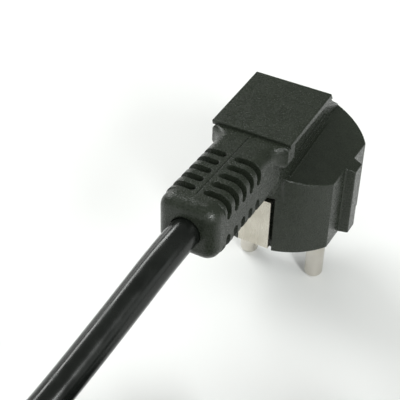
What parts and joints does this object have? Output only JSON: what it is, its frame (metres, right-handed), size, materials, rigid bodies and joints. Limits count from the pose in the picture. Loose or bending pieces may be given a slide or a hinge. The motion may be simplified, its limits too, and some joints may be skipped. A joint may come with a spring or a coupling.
{
  "type": "power cord",
  "caption": "Mains power cord: angled moulded plug with two round pins and side earth clips, black round cord wound in a tied coil, three-slot appliance connector.",
  "frame": {"origin": "middle of the plug's own box, cord left out, at the height of the pin tips", "axes": "+X from the live pin to the neutral pin, +Y away from the cord, +Z from the pin tips to the plug's head"},
  "size_m": [0.0998, 0.1864, 0.0569],
  "materials": {
    "overmould": "fine matte grain, black with a green-grey cast",
    "carrier": "satin",
    "pin_metal": "bright nickel plate",
    "spring_metal": "plated strip",
    "contact_brass": "satin",
    "copper_strands": "stranded copper",
    "core_brown": "satin",
    "core_blue": "satin",
    "core_earth": "satin",
    "sheath": "satin black",
    "tie": "satin black",
    "connector_hard": "satin"
  },
  "bodies": {
    "root": {"plug_body": "overmould", "pin_carrier": "carrier", "live_pin": "pin_metal", "neutral_pin": "pin_metal", "earth_strip": "spring_metal", "earth_socket": "spring_metal", "live_core": "core_brown", "neutral_core": "core_blue", "earth_core": "core_earth", "live_strands": "copper_strands", "neutral_strands": "copper_strands", "earth_strands": "copper_strands", "cord_run": "sheath", "cord_coil": "sheath", "coil_tie": "tie", "cord_tail": "sheath", "connector_body": "overmould", "connector_insert": "connector_hard", "connector_live": "contact_brass", "connector_neutral": "contact_brass", "connector_earth": "contact_brass", "connector_live_core": "core_brown", "connector_neutral_core": "core_blue", "connector_earth_core": "core_earth", "connector_live_strands": "copper_strands", "connector_neutral_strands": "copper_strands", "connector_earth_strands": "copper_strands"}
  },
  "joints": []
}
